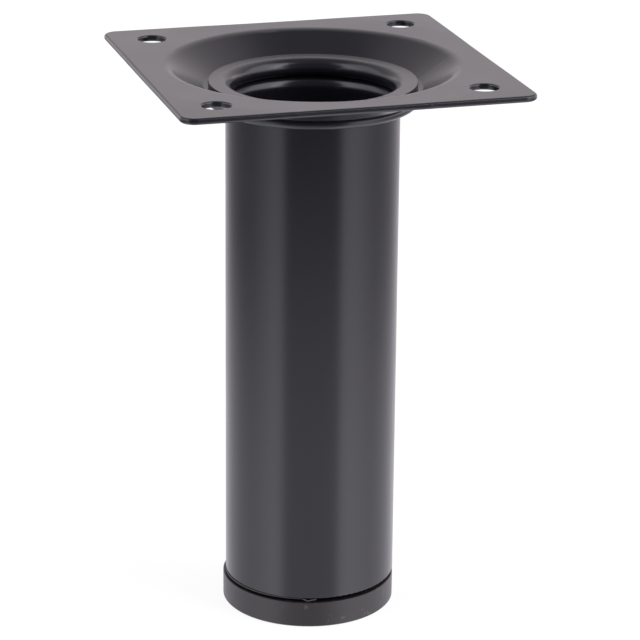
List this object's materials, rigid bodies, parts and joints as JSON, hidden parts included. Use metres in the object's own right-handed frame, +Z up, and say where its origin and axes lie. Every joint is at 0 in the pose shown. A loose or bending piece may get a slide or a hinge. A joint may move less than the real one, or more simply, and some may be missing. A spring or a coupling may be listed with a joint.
{
  "type": "furniture leg",
  "caption": "Short round black furniture leg: a steel tube flared into a square dished screw plate, with a screw-in plastic levelling foot, for carrying a cabinet or sofa.",
  "frame": {"origin": "middle of the part's footprint on the floor, on the tube's axis at the foot's sole", "axes": "+Z up along the tube towards the plate, X and Y along the plate's sides"},
  "size_m": [0.0608, 0.0608, 0.0991],
  "materials": {
    "black_powder_coat": "satin black powder coat on steel",
    "black_plastic": "fine matt moulded polyethylene",
    "zinc_plated_steel": "bright zinc plating on a rolled thread"
  },
  "bodies": {
    "leg": {"mounting_plate": "black_powder_coat", "leg_tube": "black_powder_coat", "threaded_insert": "black_plastic"},
    "foot": {"levelling_foot": "black_plastic", "foot_stud": "zinc_plated_steel"}
  },
  "joints": [
    {"name": "foot_screw", "type": "slide", "parent": "leg", "child": "foot", "axis": [0, 0, -1], "range_m": [0, 0.01]}
  ]
}
